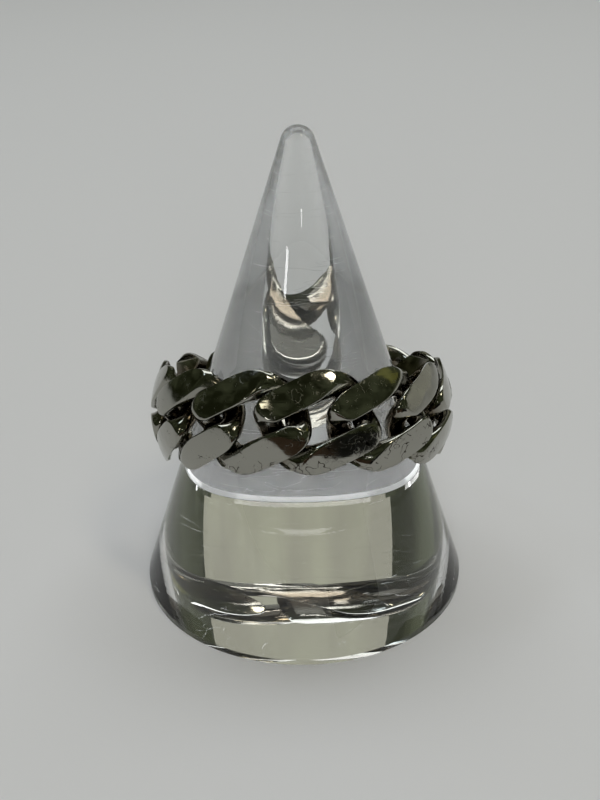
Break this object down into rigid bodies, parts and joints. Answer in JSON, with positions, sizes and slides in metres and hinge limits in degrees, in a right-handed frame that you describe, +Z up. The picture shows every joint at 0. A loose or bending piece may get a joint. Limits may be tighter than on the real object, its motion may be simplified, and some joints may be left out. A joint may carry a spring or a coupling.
{
  "type": "chain link ring on a clear cone stand",
  "caption": "Polished silver finger ring of flat interlocked curb chain, hung tilted on a plain solid clear ring cone with a rounded tip.",
  "frame": {"origin": "centre of the cone stand's flat base, on the surface it stands on", "axes": "+Z up along the cone's axis, -Y toward the viewer of the picture, +X to the viewer's right; the ring leans with its front up and its back down"},
  "size_m": [0.0246, 0.0257, 0.0356],
  "materials": {
    "silver": "polished solid silver with fine wear scuffs",
    "acrylic": "polished solid clear acrylic"
  },
  "bodies": {
    "root": {"cone_stand": "acrylic", "link_01": "silver", "link_02": "silver", "link_03": "silver", "link_04": "silver", "link_05": "silver", "link_06": "silver", "link_07": "silver", "link_08": "silver", "link_09": "silver", "link_10": "silver", "link_11": "silver", "link_12": "silver", "link_13": "silver", "link_14": "silver"}
  },
  "joints": []
}
